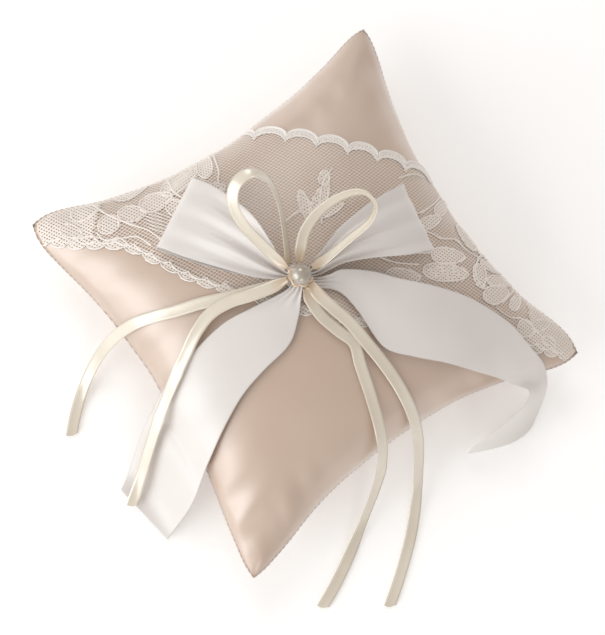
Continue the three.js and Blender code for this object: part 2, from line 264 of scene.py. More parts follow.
def threadMaterial(name, deep, light):
    material, nodes, links, shader = startMaterial(name)
    coords = nodes.new("ShaderNodeTexCoord")
    fibres = addNoise(nodes, links, coords.outputs["Object"], 900.0)
    links.new(addRamp(nodes, links, fibres, [(0.3, deep), (0.7, light)]), shader.inputs["Base Color"])
    links.new(addBump(nodes, links, fibres, 0.3, 0.0001), shader.inputs["Normal"])
    shader.inputs["Roughness"].default_value = 0.65
    shader.inputs["Sheen Weight"].default_value = 0.3
    return material


sewingThread = threadMaterial("sewingThread", (0.58, 0.45, 0.36), (0.68, 0.55, 0.45))
netThread = threadMaterial("netThread", (0.82, 0.735, 0.66), (0.90, 0.82, 0.75))
laceCord = threadMaterial("laceCord", (0.80, 0.725, 0.66), (0.88, 0.82, 0.765))
borderCord = threadMaterial("borderCord", (0.84, 0.79, 0.745), (0.92, 0.885, 0.85))


print("materials ready")

cushion = {
    "side": 0.205, "pullIn": 0.014, "seamHeight": 0.028, "crown": 0.038, "under": 0.036, "bulgePower": 0.5,
    "steps": 72, "cutSide": 0.217, "pressure": 4.0, "frames": 25, "cap": 0.008,
    "pucker": 1.0, "broad": 0.25, "blurRounds": 12, "rimShare": 0.2, "rimBand": 0.14,
    "waves": ((17.0, 0.0017), (45.0, 0.0005)), "cornerFill": {"left": 0.07, "right": 0.075, "far": 0.045, "near": 0.03}, "tipRound": 0.0028, "tipReach": 0.0026, "rimWaves": (38.0, 0.0013),
    "puckerDepth": 0.0024, "puckerRate": 9.0, "puckerReach": 0.32, "puckerIn": 0.4,
    "cornerDrift": {"left": (0.0007, 0.0035), "right": (0.0, -0.0004), "far": (0.0, 0.0004), "near": (0.0014, -0.0018)},
    "sideDrift": {"farLeft": 0.0, "farRight": 0.001, "nearRight": 0.002, "nearLeft": -0.003},
}
rootHalf = math.sqrt(0.5)


def cushionPlan(p, q):
    half, pull = cushion["side"] / 2, cushion["pullIn"]
    s = p * (half - pull * (1 - q * q))
    t = q * (half - pull * (1 - p * p))
    return (s - t) * rootHalf, (s + t) * rootHalf


def cushionForm(p, q, face):
    x, y = cushionPlan(p, q)
    rise = (max(0, 1 - p * p) * max(0, 1 - q * q)) ** cushion["bulgePower"]
    if face > 0:
        return Vector((x, y, cushion["seamHeight"] + cushion["crown"] * rise))
    return Vector((x, y, max(0, cushion["seamHeight"] - cushion["under"] * rise)))


def panelPair():
    # two square panels, one over the other, joined along their four sides
    bm = bmesh.new()
    shareP = bm.verts.layers.float.new("shareP")
    shareQ = bm.verts.layers.float.new("shareQ")
    faceSide = bm.verts.layers.float.new("faceSide")
    uvLayer = bm.loops.layers.uv.new("UVMap")
    bmesh.ops.create_grid(bm, x_segments=cushion["steps"], y_segments=cushion["steps"], size=1.0)
    for v in bm.verts:
        v[shareP], v[shareQ], v[faceSide] = v.co.x, v.co.y, 1.0
    for face in bm.faces:
        for loop in face.loops:
            loop[uvLayer].uv = (loop.vert.co.x * cushion["side"] / 2, loop.vert.co.y * cushion["side"] / 2)
    copied = bmesh.ops.duplicate(bm, geom=bm.verts[:] + bm.edges[:] + bm.faces[:])["geom"]
    for item in copied:
        if isinstance(item, bmesh.types.BMVert):
            item[faceSide] = -1.0
            if max(abs(item[shareP]), abs(item[shareQ])) < 0.9999:
                item.co.z -= 1
    bmesh.ops.reverse_faces(bm, faces=[item for item in copied if isinstance(item, bmesh.types.BMFace)])
    bmesh.ops.remove_doubles(bm, verts=bm.verts, dist=1e-5)
    cut = cushion["cutSide"] / 2
    flat = []
    shares = []
    for v in bm.verts:
        p, q = v[shareP], v[shareQ]
        v.co = cushionForm(p, q, v[faceSide])
        flat.append(((p - q) * cut * rootHalf, (p + q) * cut * rootHalf, cushion["seamHeight"]))
        shares.append((p, q, v[faceSide]))
    return newPiece("satinCushion", bm, cushionSatin), flat, shares


def inflate(piece, flat):
    # the filled cover: panels cut larger than the finished cushion, blown up by the filling
    piece.shape_key_add(name="Basis")
    cutKey = piece.shape_key_add(name="cutPanels")
    for i, spot in enumerate(flat):
        cutKey.data[i].co = spot
    cutKey.value = 0
    cloth = piece.modifiers.new("filling", "CLOTH")
    settings = cloth.settings
    settings.quality = 5
    settings.mass = 0.3
    settings.tension_stiffness = 15
    settings.compression_stiffness = 15
    settings.shear_stiffness = 5
    settings.bending_stiffness = 0.1
    settings.bending_model = "LINEAR"
    settings.use_pressure = True
    settings.uniform_pressure_force = cushion["pressure"]
    settings.effector_weights.gravity = 0
    settings.rest_shape_key = cutKey
    cloth.collision_settings.use_collision = False
    scene = bpy.context.scene
    scene.frame_start = cloth.point_cache.frame_start = 1
    scene.frame_end = cloth.point_cache.frame_end = cushion["frames"]
    for step in range(1, cushion["frames"] + 1):
        scene.frame_set(step)
    filled = piece.evaluated_get(bpy.context.evaluated_depsgraph_get())
    spots = [v.co.copy() for v in filled.to_mesh().vertices]
    filled.to_mesh_clear()
    piece.modifiers.remove(cloth)
    piece.shape_key_clear()
    scene.frame_set(1)
    return spots


def neighbourLists(mesh):
    around = [[] for _ in mesh.vertices]
    for edge in mesh.edges:
        a, b = edge.vertices
        around[a].append(b)
        around[b].append(a)
    return around


def driftedPlan(p, q):
    # the real cushion is a little uneven: corners stand off and sides pull in by different amounts
    offset = Vector((0, 0))
    corners = {"right": (1, -1), "far": (1, 1), "left": (-1, 1), "near": (-1, -1)}
    for name, (cp, cq) in corners.items():
        near = (clamp((1 + p * cp) / 2) * clamp((1 + q * cq) / 2)) ** 3
        offset += Vector(cushion["cornerDrift"][name]) * near
        outward = Vector(((cp - cq), (cp + cq))) * 0.5
        widening = cushion["cornerFill"][name] * cp * cq * (p * cp - q * cq) * near ** 4
        offset += Vector((outward.y, -outward.x)) * widening
        offset += outward * (cushion["tipReach"] * near ** 3 - cushion["tipRound"] * near ** 9)
    sides = {"farRight": (p, q, (1, 1)), "nearLeft": (-p, q, (-1, -1)),
             "farLeft": (q, p, (-1, 1)), "nearRight": (-q, p, (1, -1))}
    for name, (toward, along, way) in sides.items():
        weight = clamp(toward) ** 2 * (1 - along * along)
        offset -= Vector(way).normalized() * cushion["sideDrift"][name] * weight
    return offset


def makeCushion():
    piece, flat, shares = panelPair()
    mesh = piece.data
    form = [v.co.copy() for v in mesh.vertices]
    filled = inflate(piece, flat)
    moves = [b - a for a, b in zip(form, filled)]
    around = neighbourLists(mesh)
    broad = [m.copy() for m in moves]
    for _ in range(cushion["blurRounds"]):
        broad = [(m + sum((broad[n] for n in near), Vector())) / (1 + len(near))
                 for m, near in zip(broad, around)]
    for v, start, move, low in zip(mesh.vertices, form, moves, broad):
        shift = low * cushion["broad"] + (move - low) * cushion["pucker"]
        if shift.length > cushion["cap"]:
            shift *= cushion["cap"] / shift.length
        v.co = start + shift
    for v, start, (p, q, face) in zip(mesh.vertices, form, shares):
        inside = smoothStep((1 - max(abs(p), abs(q))) / cushion["rimBand"])
        v.co.xy = start.xy.lerp(v.co.xy, mix(cushion["rimShare"], 1, inside))
    for v, (p, q, face) in zip(mesh.vertices, shares):
        inside = smoothStep((1 - max(abs(p), abs(q))) / cushion["rimBand"])
        for scale, depth in cushion["waves"]:
            v.co.z += face * depth * inside * noise.noise(v.co * scale)
        edgeShare, along = 1 - max(abs(p), abs(q)), (q if abs(p) > abs(q) else p) + 3 * (abs(p) > abs(q))
        beside = smoothStep(edgeShare / 0.05) * (1 - smoothStep(edgeShare / cushion["puckerReach"]))
        ripple = noise.noise(Vector((along * cushion["puckerRate"], p + q, face))) - cushion["puckerIn"]
        v.co.z += face * cushion["puckerDepth"] * beside * ripple
        scale, depth = cushion["rimWaves"]
        v.co.xy *= 1 + depth / 0.1 * (1 - inside) * noise.noise(Vector((v.co.x, v.co.y, 0)) * scale)
        v.co.xy += driftedPlan(p, q)
        v.co.z = max(v.co.z, 0.0)
    rim = [i for i, (p, q, face) in enumerate(shares) if max(abs(p), abs(q)) > 0.9999]
    rim.sort(key=lambda i: math.atan2(mesh.vertices[i].co.y, mesh.vertices[i].co.x))
    rimSpots = [mesh.vertices[i].co.copy() for i in rim]
    onRim = set(rim)
    crease = mesh.attributes.new("crease_edge", "FLOAT", "EDGE")
    for edge in mesh.edges:
        if edge.vertices[0] in onRim and edge.vertices[1] in onRim:
            crease.data[edge.index].value = 1.0
    surface = piece.modifiers.new("finer", "SUBSURF")
    surface.levels = surface.render_levels = 1
    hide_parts("front_cover", "back_cover", "fibre_filling")
    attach(piece, "cushion")
    return piece, rimSpots


satinCushion, rimSpots = makeCushion()
coverTree = BVHTree.FromObject(satinCushion, bpy.context.evaluated_depsgraph_get())
print("cushion filled")


def coverHit(x, y):
    # the top of the cushion under a point, as (place, normal), or None outside it
    place, normal, _, _ = coverTree.ray_cast(Vector((x, y, 0.2)), Vector((0, 0, -1)))
    return (place, normal) if place else None


def outlineRadius():
    table = [(math.atan2(s.y, s.x), math.hypot(s.x, s.y)) for s in rimSpots]
    return sorted(table)


rimTable = outlineRadius()


def rimReach(angle):
    low, high = 0, len(rimTable) - 1
    if angle <= rimTable[0][0] or angle >= rimTable[-1][0]:
        return (rimTable[0][1] + rimTable[-1][1]) / 2
    while high - low > 1:
        middle = (low + high) // 2
        if rimTable[middle][0] <= angle:
            low = middle
        else:
            high = middle
    (a0, r0), (a1, r1) = rimTable[low], rimTable[high]
    return mix(r0, r1, (angle - a0) / max(1e-9, a1 - a0))


drape = {"ease": 0.003, "floorReach": 0.026, "feelers": ((0, 0), (0.004, 0), (-0.004, 0), (0, 0.004), (0, -0.004))}


def restZ(x, y):
    # what a ribbon lies on at a point: the cushion, or past its edge a fall to the table
    inward = 1 - drape["ease"] / (cushion["side"] / 2)
    total = 0
    for dx, dy in drape["feelers"]:
        px, py = (x + dx) * inward, (y + dy) * inward
        hit = coverHit(px, py)
        if hit:
            total += max(hit[0].z, cushion["seamHeight"])
        else:
            past = math.hypot(px, py) - rimReach(math.atan2(py, px))
            total += cushion["seamHeight"] * (1 - smoothStep(past * 0.72 / drape["floorReach"]))
    return total / len(drape["feelers"])


def restNormal(x, y):
    step = 0.002
    slopeX = (restZ(x + step, y) - restZ(x - step, y)) / (2 * step)
    slopeY = (restZ(x, y + step) - restZ(x, y - step)) / (2 * step)
    return Vector((-slopeX, -slopeY, 1)).normalized()


# Seam: small stitches along the four joined sides

seam = {
    "machine": {"stitch": 0.0015, "pitch": 0.0028, "radius": 0.00016, "slope": 0.0},
    "closing": {"stitch": 0.0026, "pitch": 0.0042, "radius": 0.0002, "slope": 0.35},
    "closingFrom": (-1.0, 0.5), "closingTo": (-1.0, -0.17),
}


def isClosing(spot):
    # the gap on the near left side that is sewn shut by hand after filling
    start, end = (Vector((*cushionPlan(*seam[key]), 0)) for key in ("closingFrom", "closingTo"))
    line = end - start
    share = (Vector((spot.x, spot.y, 0)) - start).dot(line) / line.length_squared
    return 0 <= share <= 1 and spot.x + spot.y < 0 and spot.x < 0


def makeStitches(name, node, look, closing):
    bm = bmesh.new()
    loop = rimSpots + rimSpots[:1]
    distance = nextStitch = 0
    for a, b in zip(loop, loop[1:]):
        length = (b - a).length
        while length > 0 and nextStitch < distance + length:
            spot = a.lerp(b, (nextStitch - distance) / length)
            nextStitch += look["pitch"]
            if isClosing(spot) != closing:
                continue
            along = ((b - a).normalized() + Vector((0, 0, look["slope"]))).normalized()
            turn = along.to_track_quat("Z", "Y").to_matrix().to_4x4()
            bmesh.ops.create_cone(bm, cap_ends=True, segments=6, radius1=look["radius"], radius2=look["radius"],
                                  depth=look["stitch"], matrix=Matrix.Translation(spot) @ turn)
        distance += length
    piece = newPiece(name, bm, sewingThread)
    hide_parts(node)
    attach(piece, "cushion")


makeStitches("seamStitches", "seam_thread", seam["machine"], False)
makeStitches("closingStitches", "closing_thread", seam["closing"], True)
print("seam sewn")

# Lace band, laid out flat in mm and then laid on the cover

lace = {
    "offset": 0.0005, "netPitch": 1.5, "netTurn": -17, "slant": 0.35, "thread": 0.00016, "denseThread": 0.00042,
    "across": (-140, 140), "cordWidth": 0.9, "cordHeight": 0.00042, "margin": 0.0012, "cordStep": 1.0,
    "upper": {"from": -60, "to": 52, "cusp": 70.5, "depth": 5.2, "pitch": 15.5, "band": 3.6, "stitch": 0.8},
    "lower": {
        "base": [(-136, -3), (-121, -3), (-105, -1), (-97, 0), (-88, -1), (-80, -4), (-72, -6), (-64, -9),
                 (-52, -11), (-44, -12), (-28, -14), (0, -15), (30, -14), (60, -12), (102, -5), (122, -4), (136, -3)],
        "pitch": 9.5, "depth": 2.6, "inner": 2.6,
    },
    # x, y, half length, half width, turn in degrees
    "petals": [
        (-105, 9, 5.2, 5, 0), (-95, 16.5, 7, 4.4, 12), (-85, 25, 8.5, 5, 32), (-99, 31, 10, 4.6, 42),
        (-76, 38, 11, 4.8, 52), (-66, 50, 9, 3.8, 105), (-90, 42, 7, 3.6, 20), (-119, 14, 7, 4, 30),
        (-123, 3, 6, 3.2, -10), (-72, 22, 8, 4.2, -20), (-60, 34, 8, 4, 35), (-52, 20, 8, 4.4, 5),
        (-7, 40, 10, 3.2, 78), (-14, 36, 7.5, 2.6, 118), (-1, 36, 7, 2.4, 40), (-7, 52, 4, 2.6, 90),
        (62, 29, 9.5, 4.2, 14), (62, 20, 12.5, 4.6, 12), (94, 33.5, 13, 4, 10), (94, 25, 9, 3, 16),
        (82, 44, 8, 3.6, 100), (72, 43, 8, 3.4, 140), (81, 24, 6.5, 3.8, -80), (92, 17, 8, 4.6, 30),
        (50, 44, 7, 3, 40), (56, 55, 7, 3, 62), (44, 30, 8, 4, -10), (111, 3.5, 5.2, 4.4, 0),
        (120, 8, 6, 2.8, 25), (104, 16, 5.5, 2.8, 60), (126, 1, 4, 2.2, 0), (40, 12, 9, 4, 10), (30, 30, 8, 3.6, 60),
    ],
    "ribbed": [(-81, 14, 7.5, 5, -10), (-45, 2, 12, 5, -14), (62, 20, 9.5, 3.2, 12), (-76, 38, 8.5, 3.2, 52)],
    "vines": [
        [(-117, 20), (-115, 18), (-107, 14), (-100, 12), (-91, 10), (-85, 9), (-76, 5), (-66, 3)],
        [(-110, 4), (-105, 1), (-97, 3), (-90, 5), (-82, 2)],
        [(-92, 50), (-84, 41), (-78, 32), (-72, 28), (-66, 22)],
        [(-64, 60), (-61, 53), (-58, 46), (-57, 40), (-52, 32), (-44, 26), (-34, 22)],
        [(-120, -1), (-112, 2), (-106, -1), (-99, 3), (-92, 0)],
        [(-4, 28), (-7, 40), (-7, 50), (-4, 58)], [(-7, 40), (-16, 32), (-24, 22)],
        [(45, 38), (51, 38), (57, 37), (65, 39), (71, 36), (80, 34)],
        [(80, 34), (86, 39), (98, 41), (108, 38), (101, 32), (90, 30), (80, 34)],
        [(80, 34), (78, 26), (83, 18), (88, 20), (101, 26)],
        [(84, 16), (85, 12), (91, 11), (97, 16), (103, 23)],
        [(92, 10), (97, 8), (102, 7), (108, 8), (115, 6), (121, 2), (126, 1), (131, -1)],
        [(42, 46), (45, 48), (51, 55), (55, 62)], [(30, 62), (37, 67), (44, 69)], [(20, 20), (34, 18), (47, 20)],
    ],
}


def lowerBase(x):
    # height of the lower edge before its scallops, between the listed points
    points = lace["lower"]["base"]
    for (x0, y0), (x1, y1) in zip(points, points[1:]):
        if x <= x1:
            return mix(y0, y1, clamp((x - x0) / (x1 - x0)))
    return points[-1][1]


def scallopArc(x, pitch, start=0.0):
    # 0 at the cusps, 1 at the crown of each scallop
    t = ((x - start) / pitch) % 1 * 2 - 1
    return math.sqrt(max(0.0, 1 - t * t))


def upperEdge(x):
    plan = lace["upper"]
    return plan["cusp"] + plan["depth"] * scallopArc(x, plan["pitch"], plan["from"])


def lowerEdge(x, inner=False):
    plan = lace["lower"]
    shift, rise = (plan["pitch"] / 2, plan["inner"]) if inner else (0, 0)
    return lowerBase(x) + rise - plan["depth"] * scallopArc(x, plan["pitch"], shift)


def withinPetal(x, y, petal, grow=1.0):
    cx, cy, length, width, turn = petal
    angle = math.radians(turn)
    along = (x - cx) * math.cos(angle) + (y - cy) * math.sin(angle)
    across = (y - cy) * math.cos(angle) - (x - cx) * math.sin(angle)
    return (along / length) ** 2 + (across / width) ** 2 < grow


def isDense(x, y):
    # worked parts of the lace, between its open net
    if y > upperEdge(x) - lace["upper"]["band"] or y < lowerEdge(x, True) + 1.0:
        return True
    if abs(x) > 112 or (x < -70 and y > 44 - 0.42 * (x + 70)):
        return True
    return any(withinPetal(x, y, petal) for petal in lace["petals"])


def onCover(x, y, lift):
    # the place on the cover under a point of the flat lace (mm), or None past the seam
    hit = coverHit(x * mm, y * mm)
    if not hit:
        return None
    angle = math.atan2(y, x)
    if math.hypot(x, y) * mm > rimReach(angle) - lace["margin"]:
        return None
    return hit[0] + hit[1] * lift


def layDown(bm, lift):
    # moves flat lace (mm, with its height in metres) on to the cover and drops what is past the seam
    lost = []
    for v in bm.verts:
        spot = onCover(v.co.x, v.co.y, lift + v.co.z)
        if spot is None:
            lost.append(v)
        else:
            v.co = spot
    bmesh.ops.delete(bm, geom=lost, context="VERTS")


def makeLaceNet():
    reach = lace["across"][1] - lace["across"][0]
    cells = int(reach / lace["netPitch"])
    bm = bmesh.new()
    bmesh.ops.create_grid(bm, x_segments=cells, y_segments=cells, size=reach / 2)
    turn = Matrix.Rotation(math.radians(lace["netTurn"]), 4, "Z")
    slant = Matrix(((1, lace["slant"], 0, 0), (0, 1, 0, 0), (0, 0, 1, 0), (0, 0, 0, 1)))
    bmesh.ops.transform(bm, matrix=turn @ slant, verts=bm.verts)

    def outside(face):
        x, y, _ = face.calc_center_median()
        return y > upperEdge(x) or y < lowerEdge(x) or onCover(x, y, 0) is None

    bmesh.ops.delete(bm, geom=[face for face in bm.faces if outside(face)], context="FACES")
    middles = {face: face.calc_center_median() for face in bm.faces}
    dense = [face for face, (x, y, _) in middles.items() if isDense(x, y)]
    denseSet = set(dense)
    openNet = [face for face in bm.faces if face not in denseSet]
    bmesh.ops.inset_individual(bm, faces=openNet, thickness=lace["thread"] / mm, use_even_offset=True)
    bmesh.ops.inset_individual(bm, faces=dense, thickness=lace["denseThread"] / mm, use_even_offset=True)
    bmesh.ops.delete(bm, geom=openNet + dense, context="FACES")
    cutArea = sum(face.calc_area() for face in bm.faces) * mm * mm  # of the threads, before they are laid
    layDown(bm, lace["offset"])
    return newPiece("laceNet", bm, netThread), cutArea


def addCord(bm, spotAt, length, width=None):
    # a raised cord along spotAt(u), a flat curve in mm
    width = width or lace["cordWidth"]
    made = bmesh.ops.create_grid(bm, x_segments=max(6, int(length / lace["cordStep"])), y_segments=3, size=0.5)
    for v in made["verts"]:
        u, side = v.co.x + 0.5, v.co.y
        here, ahead, behind = spotAt(u), spotAt(min(1, u + 0.01)), spotAt(max(0, u - 0.01))
        along = Vector((ahead[0] - behind[0], ahead[1] - behind[1])).normalized()
        v.co = Vector((here[0] - along.y * side * width, here[1] + along.x * side * width,
                       lace["cordHeight"] * (1 - 4 * side * side) * width / lace["cordWidth"]))


def makeLaceCords():
    bm = bmesh.new()
    for x, y, length, width, turn in lace["petals"]:
        angle = math.radians(turn)

        def around(u, x=x, y=y, length=length, width=width, angle=angle):
            a = 2 * math.pi * u
            along, across = length * math.cos(a), width * math.sin(a) * (1 - 0.22 * math.cos(a))
            return (x + along * math.cos(angle) - across * math.sin(angle),
                    y + along * math.sin(angle) + across * math.cos(angle))

        addCord(bm, around, 5 * (length + width) / 2, 0.8)
    for x, y, length, width, turn in lace["ribbed"]:
        angle = math.radians(turn)
        rows = int(2 * width / 1.5)
        for row in range(rows):
            across = width * (2 * (row + 0.5) / rows - 1)
            half = length * math.sqrt(1 - (across / width) ** 2)

            def rib(u, across=across, half=half, x=x, y=y, angle=angle):
                along = half * (2 * u - 1)
                return (x + along * math.cos(angle) - across * math.sin(angle),
                        y + along * math.sin(angle) + across * math.cos(angle))

            addCord(bm, rib, 2 * half, 0.55)
    for vine in lace["vines"]:
        points = [(px, py, 0) for px, py in vine]
        length = sum(math.dist(a, b) for a, b in zip(points, points[1:]))
        addCord(bm, lambda u, points=points: curvePoint(points, u)[:2], length)
    layDown(bm, lace["offset"])
    return newPiece("laceCords", bm, laceCord)


def makeLaceBorders():
    bm = bmesh.new()
    upper, low = lace["upper"], lace["across"][0] + 4
    reach = upper["to"] - upper["from"]
    addCord(bm, lambda u: (upper["from"] + reach * u, upperEdge(upper["from"] + reach * u)), reach * 2.2, 1.5)
    addCord(bm, lambda u: (upper["from"] + reach * u, upperEdge(upper["from"] + reach * u) - upper["band"]),
            reach * 2.2, 0.8)
    stitches = int(reach / upper["stitch"])
    for i in range(stitches):
        x = upper["from"] + (i + 0.5) * upper["stitch"]
        top = upperEdge(x)
        addCord(bm, lambda u, x=x, top=top: (x + 0.4 * u, top - upper["band"] * u), 3, 0.55)
    span = -2 * low
    for inner in (False, True):
        addCord(bm, lambda u, inner=inner: (low + span * u, lowerEdge(low + span * u, inner)), span * 1.6, 0.75)
    layDown(bm, lace["offset"])
    return newPiece("laceBorders", bm, borderCord)


def makeLace():
    (net, cutArea), cords, borders = makeLaceNet(), makeLaceCords(), makeLaceBorders()
    for piece in (net, cords, borders):
        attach(piece, "cushion")
        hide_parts("lace_band")
    cloth = (lace["across"][1] - lace["across"][0] - 4) * mm
    height = (lace["upper"]["cusp"] + lace["upper"]["depth"] - min(y for _, y in lace["lower"]["base"])) * mm
    print("lace threads", round(cutArea, 5), "of", round(cloth * height, 5), "laid", round(clothArea(net), 5))


def clothArea(piece):
    return sum(face.area for face in piece.data.polygons)


makeLace()
print("lace laid")

# Wide satin ribbon. Edges are [x, y, lift] in mm; lift is the height above what the ribbon lies on.

wideRibbon = {
    "thickness": 0.00028, "stepsAlong": 110, "stepsAcross": 24, "width": 0.038,
    "fullness": 1.0, "upperFlutes": 0.75,
    "picot": {"pitch": 0.0009, "radius": 0.0002, "reach": 0.0006},
    "leftTail": {
        "left": [(-12.2, -3.6, 5.4), (-15, -8.6, 4.2), (-28, -19, 3.2), (-40, -29, 2.4), (-50, -43, 2.4), (-59, -58, 2.6),
                 (-65, -74, 3), (-69, -92, 2.5), (-71, -108, 1.6), (-73, -118, 1)],
        "right": [(-8.4, -3.6, 5.4), (-7.4, -8.6, 4.2), (-6.4, -20, 3), (-8, -33, 2.6), (-17, -47, 2.6), (-24, -60, 2.6),
                  (-29, -76, 2.6), (-33, -96, 2.6), (-36, -117, 2), (-44, -138, 1)],
        "bend": ((-10.5, -4, 71), (-20, -20, 70)), "pleats": 3, "pleatDepth": 0.0011, "pleatReach": 0.22,
    },
    "rightTail": {
        "near": [(-7.5, -3, 5), (-2, -4, 4.2), (5, -3, 3.6), (12, -4, 3.4), (22, -11, 3), (37, -24, 2.8), (54, -25, 3),
                 (70, -24, 3), (88, -24, 3.2), (103, -24, 3.6), (113, -25, 8), (120, -27, 15), (119, -34, 20),
                 (114, -43, 20), (108, -51, 18), (101, -60, 12)],
        "far": [(-7, 0.2, 5), (-1.5, 0.5, 4.2), (4, 3.5, 4.4), (10, 7.5, 4.6), (24, 10, 4.2), (38, 10, 3.6), (58, 11, 3.2),
                (77, 10, 3), (99, 4, 3), (114, -5, 3), (127, -13, 3), (136, -26, 2.5), (136, -41, 2),
                (128, -51, 2), (115, -58, 2), (102, -63, 2)],
        "bend": ((-6, -1.5, 71), (14, 1, 70)), "pleats": 3, "pleatDepth": 0.0012, "pleatReach": 0.2,
    },
    "leftLoop": {
        "near": [(-13.4, -2.4, 4), (-18, -3.5, 3.1), (-30, -5, 2.6), (-47, -5, 2.4), (-64, -3, 2.6), (-75, -1, 3), (-79, 0, 5.5),
                 (-76, -0.5, 8.5), (-64, -3, 9.5), (-47, -5, 9), (-30, -6, 7.4), (-18, -4, 5.2), (-13.4, -2.8, 5.6)],
        "far": [(-13.4, 0.4, 4), (-18, 1.5, 3.1), (-28, 10, 2.6), (-42, 21, 2.4), (-58, 30, 2.6), (-67, 35, 4), (-70, 37, 9),
                (-67, 36, 14), (-56, 32, 15.5), (-39, 23, 13.5), (-26, 11, 9.5), (-18, 2.5, 5.2), (-13.4, 0.8, 5.6)],
        "bend": ((-14, -1, 70), (-32, 5, 70)), "pleats": 3,
    },
    "rightLoop": {
        "near": [(-5.6, 0.4, 4), (-1, 3, 3.1), (10, 12, 2.8), (24, 18, 2.6), (38, 22, 2.8), (48, 26, 3.2), (53, 28, 5.5),
                 (49, 26, 8.5), (38, 20.5, 10), (22, 15, 9.5), (9, 9.5, 8), (-0.5, 2.5, 5.2), (-5.4, 0.2, 5.6)],
        "far": [(-8, 2.4, 4), (-5.5, 5.5, 3.1), (2, 18, 2.6), (10, 31, 2.6), (20, 44, 2.8), (28, 52, 4), (31, 56, 9),
                (28, 53, 14), (16, 41, 15.5), (4, 26, 14), (-2, 14, 10), (-6, 6, 5.2), (-8.2, 2.8, 5.6)],
        "bend": ((-6, 2, 70), (10, 18, 70)), "pleats": 3,
    },
}


def picotEdge(name, place, length):
    # the woven edge of the ribbon: a row of tiny thread loops along both sides
    look = wideRibbon["picot"]
    count = int(length / look["pitch"])
    bm = bmesh.new()
    for side, inner in ((0.0, 0.04), (1.0, 0.96)):
        for i in range(1, count):
            edge = place(i / count, side)
            out = (edge - place(i / count, inner)).normalized()
            turn = out.to_track_quat("Z", "Y").to_matrix().to_4x4()
            bmesh.ops.create_cone(bm, cap_ends=True, segments=5, radius1=look["radius"], radius2=look["radius"] / 2,
                                  depth=look["reach"], matrix=Matrix.Translation(edge) @ turn)
    return newPiece(name, bm, wideSatin)


def ribbonSheet(name, edgeA, edgeB, plan, isLoop):
    # cloth between two edges, with pleats that fade out away from the gathered end
    # the cut's length: both edges of a real ribbon are equal, so it is the mean of the two
    length = sum((Vector(a) - Vector(b)).length for edge in (edgeA, edgeB) for a, b in zip(edge, edge[1:])) / 2 * mm

    def flatSpot(u, v):
        spot = curvePoint(edgeA, u).lerp(curvePoint(edgeB, u), v) * mm
        spot.z += restZ(spot.x, spot.y)
        return spot

    def place(u, v):
        spot = flatSpot(u, v)
        if isLoop:
            # the full width is still there where the loop is drawn in, as flutes that run along it
            wide = (flatSpot(u, 1) - flatSpot(u, 0)).length
            spare = max(0.0, wideRibbon["fullness"] * wideRibbon["width"] - wide)
            depth = math.sqrt(spare * wide) / (math.pi * plan["pleats"])
            depth *= mix(1, wideRibbon["upperFlutes"], smoothStep(u * 4 - 1.5))
        else:
            depth = plan["pleatDepth"] * (1 - smoothStep(u / plan["pleatReach"]))
        fold = math.cos(2 * math.pi * plan["pleats"] * v) * depth
        ease = 0.0004 * math.sin(u * 17 + v * 3) * math.sin(math.pi * v)
        spot.z += fold + ease
        return spot

    bm = bmesh.new()
    sheetMesh(bm, wideRibbon["stepsAlong"], wideRibbon["stepsAcross"], place, (length, wideRibbon["width"]))
    bmesh.ops.recalc_face_normals(bm, faces=bm.faces)
    piece = newPiece(name, bm, wideSatin)
    thick = piece.modifiers.new("thickness", "SOLIDIFY")
    thick.thickness = wideRibbon["thickness"]
    thick.offset = 0
    finer = piece.modifiers.new("finer", "SUBSURF")
    finer.levels = finer.render_levels = 1
    return piece, picotEdge(name + "Picots", place, length), length


def makeWideBow():
    plans = [
        ("bowLeftTail", "leftTail", "left", "right", "bow_left_tail", "left_tail", False, "draped"),
        ("bowRightTail", "rightTail", "near", "far", "bow_right_tail", "right_tail", False, "draped"),
        ("bowLeftLoop", "leftLoop", "near", "far", "bow_left_loop", "left_loop", True, "gathered"),
        ("bowRightLoop", "rightLoop", "near", "far", "bow_right_loop", "right_loop", True, "gathered"),
    ]
    for name, key, edgeA, edgeB, node, body, isLoop, held in plans:
        plan = wideRibbon[key]
        piece, picots, length = ribbonSheet(name, plan[edgeA], plan[edgeB], plan, isLoop)
        print(name, "length", round(length, 4), "area", round(clothArea(piece), 5))
        for part in (piece, picots):
            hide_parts(node)
            [Vector(spot) * mm for spot in plan["bend"]]
            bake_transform(part)


makeWideBow()
print("wide bow draped")

# Narrow ribbon: two standing loops and four ring ribbons, points in mm

